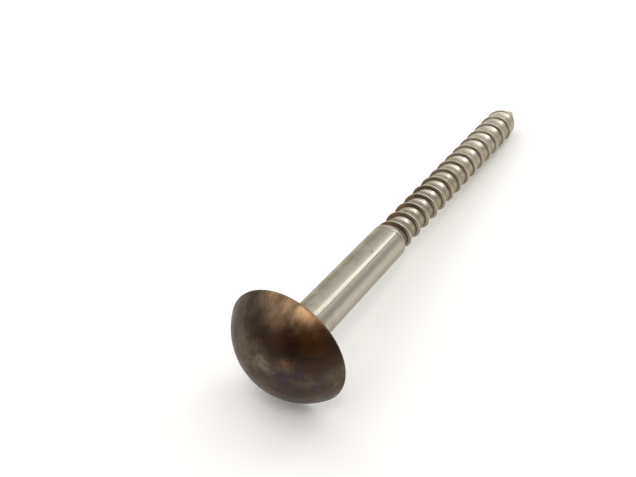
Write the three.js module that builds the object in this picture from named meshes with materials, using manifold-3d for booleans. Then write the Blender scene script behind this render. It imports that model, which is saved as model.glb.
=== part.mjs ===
// A dome-capped wood screw, as a three.js scene graph in millimetres, +Z up.
//
// A slotted countersunk wood screw has a tapped hole in its head. A hollow pressed dome, with a threaded
// stud brazed inside its crown, screws into that hole and hides the slot.
//
// Everything is turned about the Y axis. The dome's rim, which bears on the work, is the plane y = 0, and
// the tip points towards +Y.
import * as THREE from "three";
import { mergeVertices } from "three/addons/utils/BufferGeometryUtils.js";
import Module from "manifold-3d";

// Driving dimensions of the dome cap.
const DOME_RADIUS = 8.0;
const DOME_HEIGHT = 5.24;
const DOME_WALL = 0.9;
const RIM_ROUNDING = 0.3;

// Driving dimensions of the screw.
const SCREW_LENGTH = 63.5; // from the rim plane to the tip
const HEAD_RADIUS = 4.7;
const HEAD_LAND = 0.35; // the short upright edge above the countersunk cone
const HEAD_HALF_ANGLE = THREE.MathUtils.degToRad(41);
const SLOT_WIDTH = 1.2;
const SLOT_DEPTH = 1.3;
const NECK_RADIUS = 2.58; // the shank swells slightly towards the head
const SHANK_RADIUS = 2.5;
const SHANK_END = 23.6;
const SHOULDER_CHAMFER = 0.25;

// Driving dimensions of the wood thread and the point.
const PITCH = 2.5;
const THREAD_LEAD = 4.07; // how far the helix is carried back into the shank
const CREST_RADIUS = 2.38;
const CORE_RADIUS = 1.86; // at the shank, where the thread is deepest
const CORE_END_RADIUS = 2.12; // at the thread's last turn
const THREAD_END = 58.9;
const CONE_BASE = 60.1;
const CONE_BASE_RADIUS = 2.0;
const TIP_RADIUS = 0.25;

// Driving dimensions of the stud, its tapped hole and the braze that holds it.
const STUD_RADIUS = 1.45;
const STUD_END = 5.6;
const STUD_CHAMFER = 0.4;
const STUD_HEAD_RADIUS = 3.0;
const STUD_HEAD_FACE = -2.9; // the underside of the stud's head
const BORE_RADIUS = 1.75;
const BORE_DEPTH = 6.2;
const BORE_MOUTH_CHAMFER = 0.25;
const BRAZE_WIDTH = 0.9;
const JOINT_GAP = 0.1; // between the brazed pieces

const ROUND_SEGMENTS = 48;
const THREAD_SEGMENTS = 24; // facets round one turn of the thread
const ARC_DIVISIONS = 10;
const BIG = 50; // longer than any cut that has to run right through

// The dome's outside and inside lie on spheres that share one centre on the axis. The outer one meets the
// dome's full radius where the rounding of the rim begins.
const DOME_RISE = DOME_HEIGHT - RIM_ROUNDING;
const SPHERE_RADIUS = (DOME_RADIUS ** 2 + DOME_RISE ** 2) / (2 * DOME_RISE);
const SPHERE_CENTRE = SPHERE_RADIUS - DOME_HEIGHT;
const INNER_SPHERE_RADIUS = SPHERE_RADIUS - DOME_WALL;

const wasm = await Module();
wasm.setup();

// A closed geometry as a manifold-3d solid.
function solidOf(geometry) {
  const bare = geometry.index ? geometry.toNonIndexed() : geometry.clone();
  bare.deleteAttribute("normal");
  bare.deleteAttribute("uv");
  const merged = mergeVertices(bare, 1e-4);
  return new wasm.Manifold(
    new wasm.Mesh({
      numProp: 3,
      vertProperties: merged.attributes.position.array,
      triVerts: new Uint32Array(merged.index.array),
    }),
  );
}

function geometryOf(solid) {
  const mesh = solid.getMesh();
  const geometry = new THREE.BufferGeometry();
  geometry.setAttribute("position", new THREE.BufferAttribute(mesh.vertProperties, 3));
  geometry.setIndex(new THREE.BufferAttribute(mesh.triVerts, 1));
  geometry.computeVertexNormals();
  return geometry;
}

// A profile of [radius, y] points, running from the head end to the tip end, turned about the Y axis.
function lathe(profile, segments = ROUND_SEGMENTS) {
  return new THREE.LatheGeometry(
    profile.map(([radius, y]) => new THREE.Vector2(radius, y)),
    segments,
  );
}

// The y at which a sphere about the dome's centre has the given radius from the axis, on the crown side.
function sphereHeight(sphereRadius, radius) {
  return SPHERE_CENTRE - Math.sqrt(sphereRadius ** 2 - radius ** 2);
}

// Points on such a sphere, from one radius to another.
function sphereArc(sphereRadius, fromRadius, toRadius, divisions = ARC_DIVISIONS) {
  const start = Math.asin(fromRadius / sphereRadius);
  const end = Math.asin(toRadius / sphereRadius);
  return Array.from({ length: divisions + 1 }, (_, i) => {
    const angle = THREE.MathUtils.lerp(start, end, i / divisions);
    return [sphereRadius * Math.sin(angle), SPHERE_CENTRE - sphereRadius * Math.cos(angle)];
  });
}

// A pressed shell: the outer sphere, a rounded edge, a narrow flat seat and the inner sphere.
function domeShell() {
  const innerRimRadius = Math.sqrt(INNER_SPHERE_RADIUS ** 2 - SPHERE_CENTRE ** 2);
  const edge = [1, 2, 3].map((step) => {
    const angle = (step * Math.PI) / 6;
    return [
      DOME_RADIUS - RIM_ROUNDING * (1 - Math.cos(angle)),
      -RIM_ROUNDING * (1 - Math.sin(angle)),
    ];
  });
  return lathe([
    ...sphereArc(SPHERE_RADIUS, 0, DOME_RADIUS),
    ...edge,
    ...sphereArc(INNER_SPHERE_RADIUS, 0, innerRimRadius).reverse(),
  ]);
}

// The stud's head is domed to lie against the shell, and its shank runs down the axis into the screw.
function capStud() {
  const lyingOn = INNER_SPHERE_RADIUS - JOINT_GAP;
  return lathe([
    ...sphereArc(lyingOn, 0, STUD_HEAD_RADIUS, 6),
    [STUD_HEAD_RADIUS, STUD_HEAD_FACE],
    [STUD_RADIUS, STUD_HEAD_FACE],
    [STUD_RADIUS, STUD_END - STUD_CHAMFER],
    [STUD_RADIUS - STUD_CHAMFER, STUD_END],
    [0, STUD_END],
  ], 32);
}

// The braze is a concave fillet between the edge of the stud's head and the shell.
function brazeFillet() {
  const lyingOn = INNER_SPHERE_RADIUS - JOINT_GAP;
  const inner = STUD_HEAD_RADIUS + JOINT_GAP;
  const outer = inner + BRAZE_WIDTH;
  const top = STUD_HEAD_FACE - JOINT_GAP;
  const outerTop = sphereHeight(lyingOn, outer);
  const hollow = [
    THREE.MathUtils.lerp(inner, outer, 0.3),
    THREE.MathUtils.lerp(top, outerTop, 0.6),
  ];
  const ring = [...sphereArc(lyingOn, inner, outer, 3), hollow, [inner, top]];
  return lathe([...ring, ring[0]], 48);
}

// One pitch of the wood thread, as [share of the pitch, share of the depth]. A steep flank faces the head,
// and a hollow slope runs back down to the core on the tip's side, and flattens into it.
const THREAD_SECTION = [
  [0.0, 0.0],
  [0.07, 1.0],
  [0.12, 1.0],
  [0.27, 0.65],
  [0.45, 0.32],
  [0.72, 0.0],
];

// A right-hand threaded rod, longer than the thread. Each row of vertices follows the helix, so the crest
// stays sharp. The groove starts from nothing at the shoulder and reaches its full depth within a turn.
function threadedRod() {
  const firstY = SHANK_END - THREAD_LEAD;
  const perPitch = THREAD_SECTION.length;
  const rows = Math.ceil((SCREW_LENGTH - firstY) / PITCH + 1) * perPitch;
  const positions = [];
  const addPoint = (row, column) => {
    const [share, height] = THREAD_SECTION[row % perPitch];
    const turn = column / THREAD_SEGMENTS;
    const y = firstY + (Math.floor(row / perPitch) + share + turn) * PITCH;
    const depth = THREE.MathUtils.smoothstep(y, SHANK_END - 0.3 * PITCH, SHANK_END + 0.6 * PITCH);
    const along = THREE.MathUtils.smoothstep(y, SHANK_END, THREAD_END);
    const core = THREE.MathUtils.lerp(CORE_RADIUS, CORE_END_RADIUS, along);
    const cut = THREE.MathUtils.lerp(core, CREST_RADIUS, height);
    const radius = THREE.MathUtils.lerp(CREST_RADIUS, cut, depth);
    const angle = 2 * Math.PI * turn;
    positions.push(radius * Math.sin(angle), y, radius * Math.cos(angle));
  };
  for (let row = 0; row <= rows; row++) {
    for (let column = 0; column < THREAD_SEGMENTS; column++) addPoint(row, column);
  }
  // After a whole turn a row meets the row one pitch further on, so the last column joins that one's first.
  const at = (row, column) =>
    column < THREAD_SEGMENTS
      ? row * THREAD_SEGMENTS + column
      : (row + perPitch) * THREAD_SEGMENTS;
  const indices = [];
  const addTriangle = (a, b, c) => indices.push(a, b, c);
  const lastRow = rows - perPitch;
  for (let row = 0; row < lastRow; row++) {
    for (let column = 0; column < THREAD_SEGMENTS; column++) {
      addTriangle(at(row, column), at(row, column + 1), at(row + 1, column));
      addTriangle(at(row + 1, column), at(row, column + 1), at(row + 1, column + 1));
    }
  }
  // Each end is a fan from a point on the axis, round the helical edge and back along the first column.
  const addEnd = (row, facesTip) => {
    const loop = Array.from({ length: THREAD_SEGMENTS + 1 }, (_, column) => at(row, column));
    for (let back = perPitch - 1; back > 0; back--) loop.push(at(row + back, 0));
    const centre = positions.length / 3;
    positions.push(0, positions[3 * at(row, THREAD_SEGMENTS / 2) + 1], 0);
    loop.forEach((vertex, i) => {
      const next = loop[(i + 1) % loop.length];
      if (facesTip) addTriangle(centre, vertex, next);
      else addTriangle(centre, next, vertex);
    });
  };
  addEnd(0, false);
  addEnd(lastRow, true);
  const geometry = new THREE.BufferGeometry();
  geometry.setAttribute("position", new THREE.Float32BufferAttribute(positions, 3));
  geometry.setIndex(indices);
  return geometry;
}

// What the thread is turned down to: a full cylinder, a short lead and the plain cone of the point.
function threadEnvelope() {
  const clear = 1;
  return lathe([
    [0, SHANK_END - PITCH],
    [CREST_RADIUS + clear, SHANK_END - PITCH],
    [CREST_RADIUS + clear, THREAD_END - clear],
    [CREST_RADIUS, THREAD_END],
    [CONE_BASE_RADIUS, CONE_BASE],
    [TIP_RADIUS, SCREW_LENGTH - 0.6 * TIP_RADIUS],
    [0, SCREW_LENGTH],
  ], 48);
}

function headAndShank() {
  const coneEnd = HEAD_LAND + (HEAD_RADIUS - NECK_RADIUS) / Math.tan(HEAD_HALF_ANGLE);
  return lathe([
    [0, 0],
    [HEAD_RADIUS, 0],
    [HEAD_RADIUS, HEAD_LAND],
    [NECK_RADIUS, coneEnd],
    [SHANK_RADIUS, SHANK_END - SHOULDER_CHAMFER],
    [CREST_RADIUS - SHOULDER_CHAMFER / 2, SHANK_END],
    [0, SHANK_END],
  ], 48);
}

function tappedHole() {
  const mouth = BORE_RADIUS + BORE_MOUTH_CHAMFER;
  return lathe([
    [0, -1],
    [mouth, -1],
    [mouth, 0],
    [BORE_RADIUS, BORE_MOUTH_CHAMFER],
    [BORE_RADIUS, BORE_DEPTH - BORE_RADIUS / 2],
    [0, BORE_DEPTH],
  ], 32);
}

function driveSlot() {
  return new THREE.BoxGeometry(BIG, 2 * SLOT_DEPTH, SLOT_WIDTH);
}

function woodScrew() {
  const thread = solidOf(threadedRod()).intersect(solidOf(threadEnvelope()));
  const body = solidOf(headAndShank()).add(thread);
  return geometryOf(body.subtract(solidOf(tappedHole())).subtract(solidOf(driveSlot())));
}

function metal(color, roughness) {
  return new THREE.MeshStandardMaterial({ color, roughness, metalness: 1 });
}

const nickel = metal(0xb9b2a4, 0.3);
const bronze = metal(0x5a4435, 0.42);
const brass = metal(0xb08d57, 0.35);
const filler = metal(0xc2a878, 0.5);

const screw = new THREE.Group();
screw.name = "dome_capped_wood_screw";
function addPiece(name, geometry, material) {
  const mesh = new THREE.Mesh(geometry, material);
  mesh.name = name;
  screw.add(mesh);
}

addPiece("wood_screw", woodScrew(), nickel);
addPiece("dome_shell", domeShell(), bronze);
addPiece("cap_stud", capStud(), brass);
addPiece("braze_fillet", brazeFillet(), filler);

export default screw;
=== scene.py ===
"""A dome-capped wood screw: its pieces, their materials, a soft studio and the camera.

Everything is in metres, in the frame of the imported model: the screw's axis is Y, its tip points towards +Y
and the dome's rim is the plane y = 0.
"""

import math

import bmesh
import bpy
from mathutils import Euler, Matrix, Vector, noise


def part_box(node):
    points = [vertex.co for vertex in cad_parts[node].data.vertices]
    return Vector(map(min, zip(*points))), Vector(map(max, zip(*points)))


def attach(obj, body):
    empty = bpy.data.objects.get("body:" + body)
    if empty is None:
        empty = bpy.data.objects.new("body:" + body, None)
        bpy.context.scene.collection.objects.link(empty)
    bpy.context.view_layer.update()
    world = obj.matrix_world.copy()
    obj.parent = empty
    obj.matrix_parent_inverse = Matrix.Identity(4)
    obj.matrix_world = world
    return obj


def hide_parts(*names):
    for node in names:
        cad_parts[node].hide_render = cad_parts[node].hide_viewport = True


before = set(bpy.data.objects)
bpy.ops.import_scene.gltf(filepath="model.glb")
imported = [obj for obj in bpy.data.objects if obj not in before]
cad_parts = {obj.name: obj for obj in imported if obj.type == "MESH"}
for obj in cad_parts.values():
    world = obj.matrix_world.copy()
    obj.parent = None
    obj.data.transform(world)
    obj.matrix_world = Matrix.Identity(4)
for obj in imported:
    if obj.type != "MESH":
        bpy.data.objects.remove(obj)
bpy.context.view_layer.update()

MM = 0.001

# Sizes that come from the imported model.
shell_low, shell_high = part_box("dome_shell")
_, screw_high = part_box("wood_screw")
_, stud_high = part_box("cap_stud")
DOME_RADIUS = shell_high.z
DOME_HEIGHT = -shell_low.y
SCREW_LENGTH = screw_high.y
HEAD_RADIUS = screw_high.z
STUD_HEAD_RADIUS = stud_high.z
STUD_END = stud_high.y

# The dome cap.
DOME_WALL = 0.9 * MM
RIM_ROUNDING = 0.3 * MM
STUD_HEAD_FACE = -2.9 * MM
STUD_THREAD_RADIUS = 1.7 * MM
STUD_CORE_RADIUS = 1.38 * MM
STUD_PITCH = 0.6 * MM
BRAZE_WIDTH = 0.9 * MM
BRAZE_GAP = 0.02 * MM

# The screw.
HEAD_LAND = 0.35 * MM
HEAD_HALF_ANGLE = math.radians(41)
SLOT_WIDTH = 1.2 * MM
SLOT_DEPTH = 1.3 * MM
THREAD_CLEARANCE = 0.1 * MM
BORE_DEPTH = 6.2 * MM
NECK_RADIUS = 2.58 * MM
SHANK_RADIUS = 2.5 * MM
SHANK_END = 23.6 * MM
PITCH = 2.5 * MM
THREAD_LEAD = 4.07 * MM
CREST_RADIUS = 2.38 * MM
CORE_RADIUS = 1.86 * MM
CORE_END_RADIUS = 2.12 * MM
THREAD_END = 58.9 * MM
CONE_BASE = 60.1 * MM
CONE_BASE_RADIUS = 2.0 * MM
TIP_RADIUS = 0.25 * MM

# The seam that the die leaves along the shank, as an angle from +Z towards +X.
SEAM_ANGLE = math.radians(33)

# Points this close to the axis are on it, and points this close to each other are one.
ON_AXIS = 1e-9
SAME_PLACE = 1e-7

# Edges sharper than this stay crisp, in degrees.
CRISP_EDGE = 30

# The camera, and the place on and beside the screw that it looks at.
VIEW_AZIMUTH = math.radians(33.4)
VIEW_ELEVATION = math.radians(38.5)
VIEW_DISTANCE = 0.105
VIEW_LENS = 50.2
VIEW_SENSOR = 36.0
VIEW_AIM = Vector((-0.28 * DOME_RADIUS, 0.152 * SCREW_LENGTH, 1.07 * DOME_RADIUS))


def smoothstep(value, low, high):
    share = min(1.0, max(0.0, (value - low) / (high - low)))
    return share * share * (3 - 2 * share)


def lerp(start, end, share):
    return start + (end - start) * share


def steps(count):
    return [i / count for i in range(count + 1)]


# ---------------------------------------------------------------- shapes

def mesh_object(name, vertices, faces):
    mesh = bpy.data.meshes.new(name)
    mesh.from_pydata([tuple(v) for v in vertices], [], faces)
    piece = bpy.data.objects.new(name, mesh)
    bpy.context.scene.collection.objects.link(piece)
    return piece


def face_outwards(piece, sharp_angle):
    """Turns every face outwards, shades the surface smooth and keeps the edges over sharp_angle crisp."""
    work = bmesh.new()
    work.from_mesh(piece.data)
    bmesh.ops.remove_doubles(work, verts=work.verts, dist=SAME_PLACE)
    bmesh.ops.recalc_face_normals(work, faces=work.faces)
    work.to_mesh(piece.data)
    work.free()
    piece.data.shade_smooth()
    piece.data.set_sharp_from_angle(angle=math.radians(sharp_angle))


def filleted(profile, radius, divisions=4):
    """The profile with each corner off the axis replaced by a short curve."""
    points = [Vector(p) for p in profile]
    rounded = [points[0]]
    for before, corner, after in zip(points, points[1:], points[2:]):
        back, forward = before - corner, after - corner
        reach = min(radius, 0.45 * back.length, 0.45 * forward.length)
        start = corner + reach * back.normalized()
        end = corner + reach * forward.normalized()
        for t in steps(divisions):
            rounded.append(start.lerp(corner, t).lerp(corner.lerp(end, t), t))
    rounded.append(points[-1])
    return rounded


def turned(name, profile, segments=144):
    """A profile of (radius, y) points turned about the Y axis. Points on the axis become poles."""
    vertices = []
    rings = []
    for radius, y in profile:
        if radius < ON_AXIS:
            rings.append([len(vertices)] * segments)
            vertices.append((0, y, 0))
            continue
        rings.append(list(range(len(vertices), len(vertices) + segments)))
        for i in range(segments):
            angle = 2 * math.pi * i / segments
            vertices.append((radius * math.sin(angle), y, radius * math.cos(angle)))
    faces = []
    for lower, upper in zip(rings, rings[1:]):
        for i in range(segments):
            j = (i + 1) % segments
            corners = list(dict.fromkeys([lower[i], lower[j], upper[j], upper[i]]))
            if len(corners) > 2:
                faces.append(corners)
    return mesh_object(name, vertices, faces)


def helical_rod(name, section, pitch, start, end, radius_at, columns=96):
    """A right-hand threaded rod about Y. Every row of vertices follows the helix, so crests stay crisp.

    section lists (share of a pitch, share of the thread's height), and radius_at(y, share of the height,
    angle) gives the radius.
    """
    per_pitch = len(section)
    last = math.ceil((end - start) / pitch) * per_pitch
    vertices = []
    for row in range(last + per_pitch + 1):
        share, height = section[row % per_pitch]
        for column in range(columns):
            turn = column / columns
            angle = 2 * math.pi * turn
            y = start + (row // per_pitch + share + turn) * pitch
            radius = radius_at(y, height, angle)
            vertices.append((radius * math.sin(angle), y, radius * math.cos(angle)))

    def at(row, column):
        return row * columns + column if column < columns else (row + per_pitch) * columns

    faces = [
        (at(row, column), at(row + 1, column), at(row + 1, column + 1), at(row, column + 1))
        for row in range(last)
        for column in range(columns)
    ]
    for row in (0, last):
        rim = [at(row, column) for column in range(columns + 1)]
        rim += [at(row + back, 0) for back in range(per_pitch - 1, 0, -1)]
        middle = len(vertices)
        vertices.append((0, vertices[at(row, columns // 2)][1], 0))
        faces += [(middle, a, b) for a, b in zip(rim, rim[1:] + rim[:1])]
    rod = mesh_object(name, vertices, faces)
    face_outwards(rod, CRISP_EDGE)
    return rod


def combine(piece, operation, other):
    """Joins, cuts or trims piece with other, which is used up."""
    modifier = piece.modifiers.new("combine", "BOOLEAN")
    modifier.operation = operation
    modifier.solver = "EXACT"
    modifier.object = other
    result = bpy.data.meshes.new_from_object(
        piece.evaluated_get(bpy.context.evaluated_depsgraph_get())
    )
    piece.modifiers.clear()
    piece.data = result
    bpy.data.objects.remove(other)


def buttress_section():
    """One pitch of the wood thread: a steep flank that faces the head, a narrow rounded crest, and a hollow
    slope towards the tip that flattens into the core."""
    flank = 0.07
    crest = 0.05
    slope = 0.54
    rounding = 0.04
    hollow = 1.2
    points = [(0, 0)]
    points += [(flank * t, smoothstep(0.12 + 0.8 * t, 0, 1)) for t in steps(6)[1:]]
    points += [(flank + crest * t, 1 - rounding * abs(2 * t - 1)) for t in (0.5, 1)]
    points += [(flank + crest + slope * t, (1 - rounding) * (1 - t) ** hollow) for t in steps(12)[1:]]
    points += [(share, 0) for share in (0.75, 0.84, 0.92)]
    return points


def machine_section():
    """One pitch of a fine symmetrical thread with a flat crest and root."""
    return [(0.0, 0), (0.12, 0), (0.27, 0.5), (0.42, 1), (0.54, 1), (0.69, 0.5), (0.84, 0)]


def wood_thread():
    """The threaded end and the cone point. The core swells towards the point, so the thread gets shallower,
    and faint dents break the crest's line."""
    def radius_at(y, height, angle):
        around = Vector((math.sin(angle), 0, math.cos(angle)))
        depth = smoothstep(y, SHANK_END - 0.3 * PITCH, SHANK_END + 0.6 * PITCH)
        core = lerp(CORE_RADIUS, CORE_END_RADIUS, smoothstep(y, SHANK_END, THREAD_END))
        place = Vector((0, y / MM, 0)) + 2.4 * around
        dents = 0.022 * MM * noise.noise(1.7 * place) + 0.010 * MM * noise.noise(5.3 * place)
        radius = lerp(core, CREST_RADIUS - 0.02 * MM, height) + dents * (0.4 + 0.6 * height)
        return lerp(CREST_RADIUS, min(radius, CREST_RADIUS), depth)

    start = SHANK_END - THREAD_LEAD
    rod = helical_rod("wood_screw_body", buttress_section(), PITCH, start, SCREW_LENGTH + PITCH, radius_at)
    clear = 1 * MM
    envelope = turned("envelope", [
        (0, SHANK_END - THREAD_LEAD / 2),
        (CREST_RADIUS + clear, SHANK_END - THREAD_LEAD / 2),
        (CREST_RADIUS + clear, THREAD_END - clear),
        (CREST_RADIUS, THREAD_END),
        (CONE_BASE_RADIUS, CONE_BASE),
        (1.2 * TIP_RADIUS, SCREW_LENGTH - 1.1 * TIP_RADIUS),
        (0.8 * TIP_RADIUS, SCREW_LENGTH - 0.3 * TIP_RADIUS),
        (0, SCREW_LENGTH),
    ])
    face_outwards(envelope, CRISP_EDGE)
    combine(rod, "INTERSECT", envelope)
    return rod


def head_and_shank():
    """The countersunk head and the plain shank, before the hole and the slot are cut."""
    cone_end = HEAD_LAND + (HEAD_RADIUS - NECK_RADIUS) / math.tan(HEAD_HALF_ANGLE)
    corners = [(0, 0), (HEAD_RADIUS, 0), (HEAD_RADIUS, HEAD_LAND), (NECK_RADIUS, cone_end)]
    taper_start = (SHANK_RADIUS + 0.02 * MM, SHANK_END - 2 * MM)
    shank = filleted(corners + [taper_start], 0.12 * MM)
    # A faint step, as the thread dies leave it, comes just before the shoulder.
    end = filleted([
        taper_start,
        (SHANK_RADIUS, SHANK_END - 0.62 * MM),
        (SHANK_RADIUS - 0.09 * MM, SHANK_END - 0.56 * MM),
        (SHANK_RADIUS - 0.01 * MM, SHANK_END - 0.48 * MM),
        (SHANK_RADIUS - 0.02 * MM, SHANK_END - 0.15 * MM),
        (CREST_RADIUS - 0.1 * MM, SHANK_END),
        (0, SHANK_END),
    ], 0.06 * MM)
    body = turned("shank", shank[:-1] + end[1:])
    face_outwards(body, CRISP_EDGE)
    return body


def tap():
    """The shape of the tapped hole: a threaded rod in step with the stud's thread and a little larger all
    over, with a countersunk mouth and a drill point."""
    start = STUD_HEAD_FACE + 3 * STUD_PITCH
    drill_radius = STUD_CORE_RADIUS + 0.07 * MM
    mouth_depth = 0.62 * MM
    clear_of_head = -1 * MM

    def radius_at(y, height, angle):
        return lerp(STUD_CORE_RADIUS, STUD_THREAD_RADIUS, height) + THREAD_CLEARANCE

    hole = helical_rod(
        "tap", machine_section(), STUD_PITCH, start, BORE_DEPTH - 0.8 * MM, radius_at, columns=64
    )
    mouth = turned("mouth", [
        (0, clear_of_head),
        (3.2 * MM, clear_of_head),
        (drill_radius, mouth_depth),
        (drill_radius, BORE_DEPTH - 0.5 * MM),
        (0, BORE_DEPTH),
    ], segments=96)
    face_outwards(mouth, CRISP_EDGE)
    combine(hole, "UNION", mouth)
    return hole


def drive_slot():
    """The block that cuts the slot across the head."""
    work = bmesh.new()
    size = Matrix.Diagonal((4 * HEAD_RADIUS, 2 * SLOT_DEPTH, SLOT_WIDTH, 1))
    bmesh.ops.create_cube(work, size=1, matrix=size)
    mesh = bpy.data.meshes.new("slot")
    work.to_mesh(mesh)
    work.free()
    cutter = bpy.data.objects.new("slot", mesh)
    bpy.context.scene.collection.objects.link(cutter)
    return cutter


def wood_screw():
    """The screw in one piece of metal."""
    screw = wood_thread()
    body = head_and_shank()
    combine(body, "DIFFERENCE", tap())
    combine(body, "DIFFERENCE", drive_slot())
    combine(screw, "UNION", body)
    face_outwards(screw, sharp_angle=32)
    return screw


def sphere_arc(radius, centre, from_radius, to_radius, divisions):
    """A stretch of a sphere's outline between two distances from the axis, on the sphere's crown side."""
    start = math.asin(from_radius / radius)
    end = math.asin(to_radius / radius)
    angles = [lerp(start, end, t) for t in steps(divisions)]
    return [(radius * math.sin(angle), centre - radius * math.cos(angle)) for angle in angles]


# The dome's outside and inside lie on spheres that share one centre on the axis.
dome_rise = DOME_HEIGHT - RIM_ROUNDING
sphere_radius = (DOME_RADIUS**2 + dome_rise**2) / (2 * dome_rise)
sphere_centre = sphere_radius - DOME_HEIGHT
inner_sphere_radius = sphere_radius - DOME_WALL


def dome_shell():
    """A pressed shell with a rolled edge and a narrow flat seat."""
    inner_rim = math.sqrt(inner_sphere_radius**2 - sphere_centre**2)
    angles = [0.5 * math.pi * t for t in steps(6)[1:]]
    edge = [
        (DOME_RADIUS - RIM_ROUNDING * (1 - math.cos(angle)), -RIM_ROUNDING * (1 - math.sin(angle)))
        for angle in angles
    ]
    inside = sphere_arc(inner_sphere_radius, sphere_centre, 0, inner_rim, 48)[::-1]
    shell = turned(
        "dome_cap",
        sphere_arc(sphere_radius, sphere_centre, 0, DOME_RADIUS, 64)
        + edge
        + [(inner_rim + 0.12 * MM, 0), (inner_rim + 0.03 * MM, -0.04 * MM)]
        + inside[1:],
        segments=192,
    )
    face_outwards(shell, sharp_angle=40)
    return shell


def cap_stud():
    """A stud whose domed head lies against the crown, with a fine rolled thread below a short neck."""
    lying_on = inner_sphere_radius - 0.1 * MM
    edge = STUD_HEAD_RADIUS - 0.03 * MM
    neck = STUD_HEAD_FACE + 0.55 * MM
    chamfer = 0.45 * MM

    def radius_at(y, height, angle):
        run_in = smoothstep(y, neck, neck + STUD_PITCH)
        run_out = 1 - smoothstep(y, STUD_END - 1.2 * MM, STUD_END)
        return lerp(STUD_CORE_RADIUS, STUD_THREAD_RADIUS, height * run_in * run_out)

    end = STUD_END + STUD_PITCH
    thread = helical_rod(
        "threaded_stud", machine_section(), STUD_PITCH, STUD_HEAD_FACE, end, radius_at, columns=72
    )
    envelope = turned("envelope", [
        (0, STUD_HEAD_FACE - 0.1 * MM),
        (2 * STUD_THREAD_RADIUS, STUD_HEAD_FACE - 0.1 * MM),
        (2 * STUD_THREAD_RADIUS, STUD_END - chamfer - STUD_THREAD_RADIUS),
        (STUD_THREAD_RADIUS, STUD_END - chamfer),
        (STUD_THREAD_RADIUS - chamfer, STUD_END),
        (0, STUD_END),
    ], segments=96)
    face_outwards(envelope, CRISP_EDGE)
    combine(thread, "INTERSECT", envelope)
    # The head runs on into the threaded rod's core as a narrower plug, so that the two overlap cleanly.
    crown = sphere_arc(lying_on, sphere_centre, 0, edge, 12)
    plug_radius = STUD_CORE_RADIUS - 0.2 * MM
    plug_end = STUD_HEAD_FACE + 0.8 * MM
    side = filleted([
        crown[-1],
        (edge, STUD_HEAD_FACE),
        (plug_radius, STUD_HEAD_FACE),
        (plug_radius, plug_end),
        (0, plug_end),
    ], 0.1 * MM)
    head = turned("stud_head", crown[:-1] + side, segments=96)
    face_outwards(head, CRISP_EDGE)
    combine(thread, "UNION", head)
    face_outwards(thread, sharp_angle=32)
    return thread


def braze_fillet():
    """The filler that has flowed between the stud's head and the crown: a hollow fillet with a wavy toe."""
    lying_on = inner_sphere_radius - BRAZE_GAP
    inner = STUD_HEAD_RADIUS + BRAZE_GAP
    segments = 160
    around = []
    for i in range(segments):
        angle = 2 * math.pi * i / segments
        place = Vector((math.sin(angle), 0, math.cos(angle)))
        width = BRAZE_WIDTH * (0.8 + 0.2 * noise.noise(2.2 * place) + 0.08 * noise.noise(7 * place))
        top = STUD_HEAD_FACE - 0.12 * MM + 0.08 * MM * noise.noise(3.1 * place + Vector((5, 0, 0)))
        outer = inner + width
        toe_y = sphere_centre - math.sqrt(lying_on**2 - outer**2)
        ring = [Vector(p) for p in sphere_arc(lying_on, sphere_centre, inner, outer, 6)]
        toe = Vector((outer, toe_y))
        corner = Vector((lerp(inner, outer, 0.12), lerp(top, toe_y, 0.85)))
        root = Vector((inner, top))
        for t in steps(8)[1:]:
            ring.append(toe.lerp(corner, t).lerp(corner.lerp(root, t), t))
        around.append([(p.x * place.x, p.y, p.x * place.z) for p in ring])
    count = len(around[0])
    vertices = [vertex for ring in around for vertex in ring]

    def at(i, k):
        return (i % segments) * count + k % count

    faces = [
        (at(i, k), at(i + 1, k), at(i + 1, k + 1), at(i, k + 1))
        for i in range(segments)
        for k in range(count)
    ]
    fillet = mesh_object("braze_ring", vertices, faces)
    face_outwards(fillet, sharp_angle=40)
    return fillet


# ---------------------------------------------------------------- materials

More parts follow.
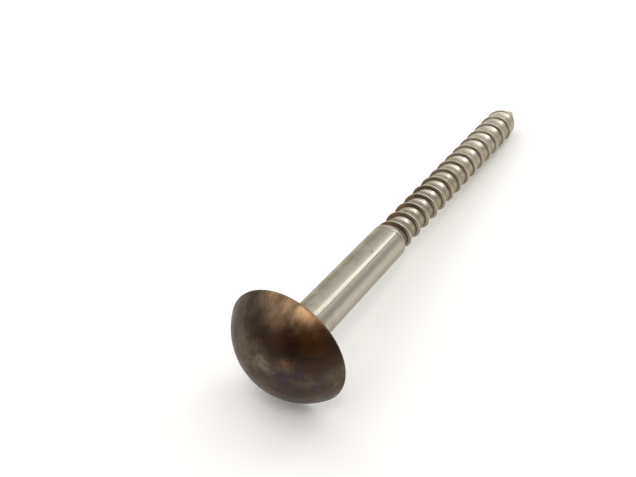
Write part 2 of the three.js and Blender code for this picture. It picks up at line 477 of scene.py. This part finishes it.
class Nodes:
    """A short way to write a node tree."""

    def __init__(self, tree):
        self.tree = tree
        tree.nodes.clear()

    def add(self, kind, inputs=(), **settings):
        node = self.tree.nodes.new(kind)
        for key, value in settings.items():
            setattr(node, key, value)
        for key, value in dict(inputs).items():
            if isinstance(value, bpy.types.NodeSocket):
                self.tree.links.new(value, node.inputs[key])
            else:
                node.inputs[key].default_value = value
        return node

    def math(self, operation, first, second=0.0, clamp=False):
        inputs = {0: first, 1: second}
        return self.add("ShaderNodeMath", inputs, operation=operation, use_clamp=clamp).outputs[0]

    def plus(self, first, second, clamp=False):
        return self.math("ADD", first, second, clamp)

    def minus(self, first, second):
        return self.math("SUBTRACT", first, second)

    def times(self, first, second):
        return self.math("MULTIPLY", first, second)

    def larger(self, first, second):
        return self.math("MAXIMUM", first, second)

    def distance_from_axis(self, x, z):
        return self.math("SQRT", self.plus(self.times(x, x), self.times(z, z)))

    def ramp_mask(self, value, low, high, steepness="SMOOTHSTEP"):
        """Nothing at low and one at high."""
        return self.add(
            "ShaderNodeMapRange",
            {"Value": value, "From Min": low, "From Max": high},
            interpolation_type=steepness,
        ).outputs["Result"]

    def noise(self, place, scale, detail=4.0, roughness=0.55, distortion=0.0):
        return self.add("ShaderNodeTexNoise", {
            "Vector": place,
            "Scale": scale,
            "Detail": detail,
            "Roughness": roughness,
            "Distortion": distortion,
        }).outputs["Fac"]

    def mapped(self, place, scale=(1, 1, 1), rotation=(0, 0, 0), location=(0, 0, 0)):
        return self.add("ShaderNodeMapping", {
            "Vector": place,
            "Scale": scale,
            "Rotation": rotation,
            "Location": location,
        }).outputs["Vector"]

    def vector_math(self, operation, inputs):
        return self.add("ShaderNodeVectorMath", inputs, operation=operation)

    def mix(self, share, first, second):
        node = self.add("ShaderNodeMix", {"Factor": share}, data_type="RGBA")
        for key, value in (("A", first), ("B", second)):
            socket = next(s for s in node.inputs if s.name == key and s.type == "RGBA")
            if isinstance(value, bpy.types.NodeSocket):
                self.tree.links.new(value, socket)
            else:
                socket.default_value = value
        return next(s for s in node.outputs if s.type == "RGBA")

    def ramp(self, value, stops):
        node = self.add("ShaderNodeValToRGB", {"Fac": value})
        ramp = node.color_ramp
        while len(ramp.elements) < len(stops):
            ramp.elements.new(0.5)
        for element, (position, color) in zip(ramp.elements, stops):
            element.position = position
            element.color = color
        return node.outputs["Color"]

    def bump(self, height, strength, distance, normal=None):
        """distance is how far a height of one stands out."""
        inputs = {"Height": height, "Strength": strength, "Distance": distance}
        if normal is not None:
            inputs["Normal"] = normal
        return self.add("ShaderNodeBump", inputs).outputs["Normal"]


def new_metal(name):
    """A material with a metallic shader, its node writer and the object's own coordinates."""
    material = bpy.data.materials.new(name)
    material.use_nodes = True
    nodes = Nodes(material.node_tree)
    shader = nodes.add("ShaderNodeBsdfPrincipled", {"Metallic": 1.0})
    output = nodes.add("ShaderNodeOutputMaterial")
    material.node_tree.links.new(shader.outputs[0], output.inputs["Surface"])
    place = nodes.add("ShaderNodeTexCoord").outputs["Object"]
    return material, nodes, shader, place


def finish_metal(nodes, shader, color, roughness, normal):
    links = nodes.tree.links
    links.new(color, shader.inputs["Base Color"])
    links.new(roughness, shader.inputs["Roughness"])
    links.new(normal, shader.inputs["Normal"])


def rgb(red, green, blue):
    return (red, green, blue, 1)


def bronze_material():
    """Bronze that heat and handling have tinted. Its olive-brown ground turns maroon on one side, copper
    towards one edge and violet in one patch, with flecks, fine scratches and a satin grain. A painted dark
    reflection turns that side near black, and the copper doubles as a painted highlight."""
    material, nodes, shader, place = new_metal("heat_tinted_bronze")
    warp = nodes.add("ShaderNodeTexNoise", {"Vector": place, "Scale": 190, "Detail": 4, "Roughness": 0.55})
    offset = nodes.vector_math("SUBTRACT", {0: warp.outputs["Color"], 1: (0.5, 0.5, 0.5)})
    offset = nodes.vector_math("SCALE", {0: offset.outputs[0], "Scale": 0.62 * DOME_RADIUS})
    warped = nodes.vector_math("ADD", {0: place, 1: offset.outputs[0]}).outputs[0]

    def patch(centre, inner, outer):
        """One where the warped place is within inner of the centre, falling to nothing at outer. All three
        are in shares of the dome's radius."""
        middle = [share * DOME_RADIUS for share in centre]
        gap = nodes.vector_math("DISTANCE", {0: warped, 1: middle}).outputs["Value"]
        return nodes.ramp_mask(gap, outer * DOME_RADIUS, inner * DOME_RADIUS)

    clouds = nodes.noise(place, 260, 5, 0.62, 0.5)
    tint = nodes.ramp(clouds, [
        (0.30, rgb(0.050, 0.034, 0.025)),
        (0.44, rgb(0.080, 0.056, 0.039)),
        (0.54, rgb(0.115, 0.087, 0.060)),
        (0.64, rgb(0.076, 0.063, 0.053)),
        (0.76, rgb(0.100, 0.060, 0.037)),
    ])

    # A painted dark reflection makes one side very dark brown, in three patches that meet, with a maroon
    # heart. Beside it the metal has turned a dull orange.
    dark = nodes.larger(patch((0.38, -0.44, 0.52), 0.24, 0.58), patch((0.74, -0.25, 0.46), 0.26, 0.56))
    dark = nodes.larger(dark, patch((0.04, -0.43, 0.64), 0.10, 0.40))
    tint = nodes.mix(dark, tint, rgb(0.052, 0.031, 0.021))
    heart = nodes.times(patch((0.24, -0.38, 0.68), 0.04, 0.32), 0.8)
    tint = nodes.mix(heart, tint, rgb(0.105, 0.042, 0.027))
    tint = nodes.mix(patch((0.58, -0.22, 0.74), 0.12, 0.34), tint, rgb(0.200, 0.090, 0.036))
    violet = nodes.noise(nodes.mapped(place, location=(0.01, 0, 0.02)), 420, 4, 0.6)
    violet = nodes.times(nodes.ramp_mask(violet, 0.34, 0.58), patch((0.55, -0.50, 0.02), 0.26, 0.56))
    tint = nodes.mix(nodes.times(violet, 0.85), tint, rgb(0.048, 0.034, 0.044))

    # A small orange-brown spot is broken up by the same mottling as the copper.
    mottle = nodes.noise(nodes.mapped(place, (620, 300, 520), (0.3, 0.5, 0)), 1, 5, 0.66)
    mottle = nodes.ramp_mask(mottle, 0.36, 0.64)
    spot = nodes.times(patch((0.37, -0.56, 0.25), 0.02, 0.20), nodes.plus(mottle, 0.2, clamp=True))
    tint = nodes.mix(nodes.times(spot, 0.85), tint, rgb(0.180, 0.100, 0.058))

    # Copper shows towards one edge, in fingers that point at the crown; it doubles as a painted highlight
    # where the lamp's reflection falls.
    pale = nodes.times(patch((-0.02, -0.14, 0.99), 0.12, 0.44), 0.72)
    copper_and_highlight = nodes.larger(patch((0.40, -0.08, 0.90), 0.12, 0.34), pale)
    fingers = nodes.ramp_mask(nodes.noise(nodes.mapped(place, (520, 90, 160)), 1, 3), 0.30, 0.62)
    copper_and_highlight = nodes.times(copper_and_highlight, nodes.plus(nodes.times(fingers, 0.40), 0.25))
    copper_and_highlight = nodes.plus(copper_and_highlight, nodes.times(nodes.times(copper_and_highlight, mottle), 0.75), clamp=True)
    tint = nodes.mix(copper_and_highlight, tint, rgb(0.400, 0.250, 0.135))

    # Small lighter and darker flecks run through all of it.
    fleck = nodes.times(nodes.minus(1.0, mottle), 0.34)
    tint = nodes.mix(fleck, tint, rgb(0.040, 0.028, 0.022))
    ember = nodes.ramp_mask(nodes.noise(place, 900, 3, 0.6), 0.62, 0.72)
    tint = nodes.mix(nodes.times(ember, 0.30), tint, rgb(0.26, 0.15, 0.09))

    # Two sets of scratches cross, each drawn out along its own direction.
    scratches = 0
    for turn, fineness in ((0.5, 1500), (1.9, 2100)):
        streak = nodes.noise(nodes.mapped(place, (fineness, 90, 90), (0.4, turn, 0.2)), 1, 2, 0.5, 0.3)
        line = nodes.ramp_mask(streak, 0.735, 0.775)
        scratches = nodes.plus(line, scratches, clamp=True)
    tint = nodes.mix(nodes.times(scratches, 0.12), tint, rgb(0.42, 0.34, 0.26))
    # A pale scuff has rubbed the ground bright where a hand has slid over it.
    scuff = nodes.noise(nodes.mapped(place, (260, 110, 500), (0.5, 0.3, 0.9)), 1, 4, 0.65)
    scuff = nodes.times(nodes.ramp_mask(scuff, 0.50, 0.68), patch((0.00, -0.62, 0.14), 0.10, 0.52))
    tint = nodes.mix(nodes.times(scuff, 0.5), tint, rgb(0.25, 0.205, 0.155))

    rough = nodes.plus(nodes.times(nodes.noise(place, 620, 5), 0.24), 0.24)
    rough = nodes.minus(rough, nodes.times(scratches, 0.08))
    waves = nodes.bump(nodes.noise(place, 330, 2), 0.35, 0.12 * MM)
    normal = nodes.bump(nodes.noise(place, 5200, 3), 0.22, 0.012 * MM, waves)
    normal = nodes.bump(scratches, -0.15, 0.01 * MM, normal)
    shader.inputs["Specular Tint"].default_value = rgb(0.76, 0.75, 0.75)
    finish_metal(nodes, shader, tint, rough, normal)
    return material


def nickel_material():
    """Nickel plate on drawn steel. The shank has draw lines, a die seam and pits; brown tarnish lies near
    the head and in patches, and the thread's steep flanks and roots are darker brown. Painted shade darkens
    one side, and painted highlights brighten the crests and one side of the thread."""
    material, nodes, shader, place = new_metal("worn_nickel")
    axes = nodes.add("ShaderNodeSeparateXYZ", {0: place})
    x, y, z = (axes.outputs[axis] for axis in ("X", "Y", "Z"))
    facing = nodes.add("ShaderNodeSeparateXYZ", {0: nodes.add("ShaderNodeTexCoord").outputs["Normal"]})
    radius = nodes.distance_from_axis(x, z)
    angle = nodes.math("ARCTAN2", x, z)
    on_shank = nodes.ramp_mask(y, SHANK_END - 0.1 * MM, SHANK_END - 0.5 * MM)
    on_thread = nodes.minus(1.0, on_shank)

    # Draw lines run along the shank, on broader light and dark bands.
    lines = nodes.noise(nodes.mapped(place, (2600, 45, 2600)), 1, 4, 0.65)
    broad = nodes.noise(nodes.mapped(place, (700, 22, 700)), 1, 3, 0.5)
    clouds = nodes.noise(place, 420, 5, 0.6)
    color = nodes.mix(broad, rgb(0.38, 0.355, 0.295), rgb(0.56, 0.535, 0.465))
    color = nodes.mix(nodes.times(lines, 0.35), color, rgb(0.33, 0.305, 0.25))
    # One side of the shank and of the thread's flanks is darker than the other, partly from a film of
    # tarnish on the shank and partly from painted shade.
    upper = nodes.math("COSINE", nodes.plus(angle, 0.9))
    film_and_shade = nodes.times(nodes.ramp_mask(upper, 0.35, 1.0), nodes.ramp_mask(clouds, 0.34, 0.60))
    color = nodes.mix(nodes.times(film_and_shade, 0.75), color, rgb(0.29, 0.255, 0.185))

    # How far round the thread's section a point is, from the foot of its steep flank to the next one.
    turns = nodes.minus(nodes.math("DIVIDE", y, PITCH), nodes.math("DIVIDE", angle, 2 * math.pi))
    share = nodes.math("FRACT", nodes.minus(turns, (SHANK_END - THREAD_LEAD) / PITCH))
    # Rolling marks run along the thread's turns.
    along = nodes.add("ShaderNodeCombineXYZ", {
        "X": nodes.times(radius, 11000),
        "Y": nodes.times(turns, 9),
        "Z": nodes.times(angle, 1.1),
    }).outputs[0]
    rolled = nodes.noise(along, 1.6, 5, 0.72)
    band = nodes.mix(nodes.ramp_mask(rolled, 0.42, 0.58), rgb(0.40, 0.345, 0.260), rgb(0.90, 0.840, 0.710))
    # A painted highlight lightens one side of the thread, most of all the foot of each slope.
    highlight_side = nodes.ramp_mask(nodes.math("COSINE", nodes.plus(angle, 0.17)), 0.40, 0.90)
    foot_of_slope = nodes.times(nodes.ramp_mask(share, 0.46, 0.66), nodes.ramp_mask(share, 1.0, 0.95))
    painted_highlight = nodes.times(foot_of_slope, highlight_side)
    band = nodes.mix(nodes.times(painted_highlight, 0.85), band, rgb(0.93, 0.87, 0.77))
    # Painted shade darkens the thread's other side.
    shaded_side = nodes.times(nodes.minus(1.0, highlight_side), 0.68)
    band = nodes.mix(shaded_side, band, rgb(0.36, 0.32, 0.245))
    color = nodes.mix(on_thread, color, band)

    # The steep flanks that face the head are darker brown, less so towards the tip, and painted shade makes
    # them darker on one side. The foot of each flank is darker too, and brown tarnish lies in patches.
    head_facing = nodes.ramp_mask(facing.outputs["Y"], -0.30, -0.75)
    foot = nodes.larger(nodes.ramp_mask(share, 0.945, 0.985), nodes.ramp_mask(share, 0.030, 0.0))
    fresh = nodes.minus(1.0, nodes.times(nodes.ramp_mask(y, SHANK_END, THREAD_END), 0.45))
    # Painted shade: the flanks are darker on one side.
    darker_side = nodes.plus(nodes.times(nodes.ramp_mask(upper, -0.6, 0.5), 0.6), 0.35)
    flank = nodes.times(nodes.times(head_facing, fresh), darker_side)
    patches = nodes.times(nodes.ramp_mask(clouds, 0.50, 0.66), 0.35)
    stain = nodes.times(nodes.larger(flank, nodes.larger(foot, patches)), on_thread)
    near_head = nodes.times(nodes.ramp_mask(y, 10 * MM, 2 * MM), nodes.ramp_mask(clouds, 0.46, 0.62))
    specks = nodes.ramp_mask(nodes.noise(nodes.mapped(place, (900, 300, 900)), 1, 5, 0.7), 0.60, 0.72)
    tarnish_and_shade = nodes.larger(stain, nodes.times(nodes.larger(near_head, specks), 0.38))
    browner = nodes.ramp_mask(clouds, 0.36, 0.62)
    brown = nodes.mix(browner, rgb(0.070, 0.041, 0.025), rgb(0.21, 0.135, 0.080))
    color = nodes.mix(tarnish_and_shade, color, brown)
    root_line = nodes.times(foot, on_thread)
    color = nodes.mix(nodes.times(root_line, 0.5), color, rgb(0.060, 0.038, 0.022))
    # A painted highlight brightens the crest line.
    crest = nodes.times(nodes.ramp_mask(share, 0.052, 0.070), nodes.ramp_mask(share, 0.135, 0.100))
    crest = nodes.times(crest, on_thread)
    color = nodes.mix(nodes.times(crest, 0.50), color, rgb(0.80, 0.75, 0.66))

    pit_cells = nodes.add("ShaderNodeTexVoronoi", {"Vector": place, "Scale": 900, "Randomness": 1.0})
    pit_pick = nodes.ramp_mask(nodes.noise(place, 700, 2), 0.60, 0.66)
    pits = nodes.times(nodes.ramp_mask(pit_cells.outputs["Distance"], 0.20, 0.08), pit_pick)
    color = nodes.mix(nodes.times(pits, 0.85), color, rgb(0.07, 0.055, 0.045))

    wander = nodes.noise(nodes.mapped(place, (60, 160, 60)), 1, 2)
    wander = nodes.times(nodes.minus(wander, 0.5), 0.05)
    off_seam = nodes.math("ABSOLUTE", nodes.minus(nodes.plus(angle, wander), SEAM_ANGLE))
    seam = nodes.times(nodes.ramp_mask(off_seam, 0.030, 0.012), on_shank)
    color = nodes.mix(nodes.times(seam, 0.85), color, rgb(0.13, 0.10, 0.07))

    rough = nodes.plus(nodes.times(lines, 0.16), 0.20)
    rough = nodes.plus(rough, nodes.times(tarnish_and_shade, 0.26))
    rough = nodes.plus(rough, nodes.times(on_thread, 0.08))
    rough = nodes.minus(rough, nodes.times(nodes.times(painted_highlight, on_thread), 0.09))

    normal = nodes.bump(nodes.times(lines, on_shank), 0.55, 0.016 * MM)
    normal = nodes.bump(nodes.times(broad, on_shank), 0.60, 0.08 * MM, normal)
    normal = nodes.bump(nodes.times(rolled, on_thread), 0.45, 0.05 * MM, normal)
    normal = nodes.bump(nodes.noise(place, 1500, 4), 0.22, 0.02 * MM, normal)
    normal = nodes.bump(nodes.larger(pits, seam), -0.6, 0.04 * MM, normal)
    shader.inputs["Specular Tint"].default_value = rgb(0.70, 0.67, 0.60)
    finish_metal(nodes, shader, color, rough, normal)
    return material


def brass_material():
    """Turned brass with a little oxide in the roots of the fine thread."""
    material, nodes, shader, place = new_metal("turned_brass")
    axes = nodes.add("ShaderNodeSeparateXYZ", {0: place})
    radius = nodes.distance_from_axis(axes.outputs["X"], axes.outputs["Z"])
    deep = nodes.ramp_mask(radius, STUD_THREAD_RADIUS - 0.05 * MM, STUD_CORE_RADIUS)
    rings = nodes.noise(nodes.mapped(place, (150, 5200, 150)), 1, 3)
    clouds = nodes.noise(place, 900, 4)
    color = nodes.mix(clouds, rgb(0.62, 0.45, 0.20), rgb(0.78, 0.62, 0.33))
    color = nodes.mix(nodes.times(deep, 0.55), color, rgb(0.28, 0.18, 0.08))
    rough = nodes.plus(nodes.times(rings, 0.2), 0.22)
    normal = nodes.bump(rings, 0.3, 0.01 * MM)
    finish_metal(nodes, shader, color, rough, normal)
    return material


def braze_material():
    """Silver-gold filler, rippled as it froze, with darker flux stain in patches."""
    material, nodes, shader, place = new_metal("braze_filler")
    ripples = nodes.noise(place, 1400, 3, 0.5, 0.8)
    stain = nodes.ramp_mask(nodes.noise(place, 520, 4), 0.5, 0.72)
    color = nodes.mix(ripples, rgb(0.58, 0.48, 0.30), rgb(0.80, 0.72, 0.52))
    color = nodes.mix(nodes.times(stain, 0.6), color, rgb(0.20, 0.14, 0.09))
    rough = nodes.plus(nodes.times(ripples, 0.3), 0.25)
    normal = nodes.bump(ripples, 0.5, 0.05 * MM)
    finish_metal(nodes, shader, color, rough, normal)
    return material


def place_piece(piece, material, body, node):
    """Finishes a piece, which stands for a CAD node and moves with a body."""
    piece.data.materials.clear()
    piece.data.materials.append(material)
    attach(piece, body)
    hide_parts(node)


# ---------------------------------------------------------------- studio

def camera_back():
    """The direction from the object to the camera."""
    return Vector((
        math.sin(VIEW_AZIMUTH) * math.cos(VIEW_ELEVATION),
        -math.cos(VIEW_AZIMUTH) * math.cos(VIEW_ELEVATION),
        math.sin(VIEW_ELEVATION),
    ))


def facing_along(direction):
    """The rotation that points a camera or a light along a direction."""
    return direction.to_track_quat("-Z", "Y").to_euler()


def add_camera():
    data = bpy.data.cameras.new("camera")
    data.lens = VIEW_LENS
    data.sensor_width = VIEW_SENSOR
    data.clip_start = 0.005
    camera = bpy.data.objects.new("camera", data)
    back = camera_back()
    camera.location = VIEW_AIM + VIEW_DISTANCE * back
    camera.rotation_euler = facing_along(-back)
    bpy.context.scene.collection.objects.link(camera)
    bpy.context.scene.camera = camera


def add_floor():
    """A pale surface that the screw lies on, touching the dome's rim and the last full crest."""
    tilt = math.atan((DOME_RADIUS - CREST_RADIUS) / THREAD_END)
    half = 1.5
    corners = [(-half, -half, 0), (half, -half, 0), (half, half, 0), (-half, half, 0)]
    floor = mesh_object("floor", corners, [(0, 1, 2, 3)])
    floor.rotation_euler = Euler((tilt, 0, 0))
    floor.location = (0, 0, -DOME_RADIUS)
    material = bpy.data.materials.new("pale_paper")
    material.use_nodes = True
    nodes = Nodes(material.node_tree)
    shader = nodes.add("ShaderNodeBsdfPrincipled", {
        "Roughness": 0.9,
        "Base Color": rgb(0.93, 0.93, 0.92),
        "Emission Color": rgb(1.0, 1.0, 0.99),
        "Emission Strength": 0.12,
    })
    output = nodes.add("ShaderNodeOutputMaterial")
    material.node_tree.links.new(shader.outputs[0], output.inputs["Surface"])
    floor.data.materials.append(material)


def add_light(name, direction, distance, size, power, color=(1, 1, 1)):
    """A rectangular light, with its power in watts, that lies in a direction from the screw and faces it."""
    data = bpy.data.lights.new(name, "AREA")
    data.shape = "RECTANGLE"
    data.size, data.size_y = size
    data.energy = power
    data.color = color
    light = bpy.data.objects.new(name, data)
    back = Vector(direction).normalized()
    light.location = VIEW_AIM + distance * back
    light.rotation_euler = facing_along(-back)
    bpy.context.scene.collection.objects.link(light)


def add_surroundings():
    """A bright tent, greyer at the horizon, with a dark opening in front of the dome. Only reflections show
    them: seen directly, the tent is one pale tone."""
    world = bpy.data.worlds.new("tent")
    bpy.context.scene.world = world
    world.use_nodes = True
    nodes = Nodes(world.node_tree)
    direction = nodes.add("ShaderNodeTexCoord").outputs["Generated"]
    opening = camera_back() + Vector((0.05, 0, -0.28))
    toward = nodes.vector_math("DOT_PRODUCT", {0: direction, 1: opening.normalized()}).outputs["Value"]
    dark = nodes.ramp_mask(toward, math.cos(math.radians(50)), math.cos(math.radians(26)))
    height = nodes.add("ShaderNodeSeparateXYZ", {0: direction}).outputs["Z"]
    height = nodes.ramp_mask(height, -0.05, 1.0, "LINEAR")
    sky = nodes.mix(height, rgb(0.36, 0.36, 0.37), rgb(1.25, 1.24, 1.22))
    sky = nodes.mix(dark, sky, rgb(0.035, 0.030, 0.028))
    seen = nodes.add("ShaderNodeLightPath").outputs["Is Camera Ray"]
    sky = nodes.mix(seen, sky, rgb(0.97, 0.97, 0.96))
    background = nodes.add("ShaderNodeBackground", {"Color": sky, "Strength": 1.0})
    output = nodes.add("ShaderNodeOutputWorld")
    world.node_tree.links.new(background.outputs[0], output.inputs["Surface"])


place_piece(wood_screw(), nickel_material(), "screw", "wood_screw")
place_piece(dome_shell(), bronze_material(), "cap", "dome_shell")
place_piece(cap_stud(), brass_material(), "cap", "cap_stud")
place_piece(braze_fillet(), braze_material(), "cap_travel", "braze_fillet")

add_camera()
add_floor()
add_surroundings()
add_light("high_window", (0.24, 0.65, 0.73), distance=0.5, size=(0.11, 0.4), power=0.27)
over_camera = 0.9 * camera_back() + Vector((-0.16, 0.21, 0.33))
add_light(
    "lamp_over_camera", over_camera, distance=0.5, size=(0.13, 0.12), power=0.34, color=(1.0, 0.93, 0.84)
)
add_light(
    "side_window", (-0.75, 0.25, 0.65), distance=0.6, size=(0.4, 0.4), power=0.55, color=(1.0, 0.96, 0.92)
)

bpy.context.scene.view_settings.view_transform = "Standard"
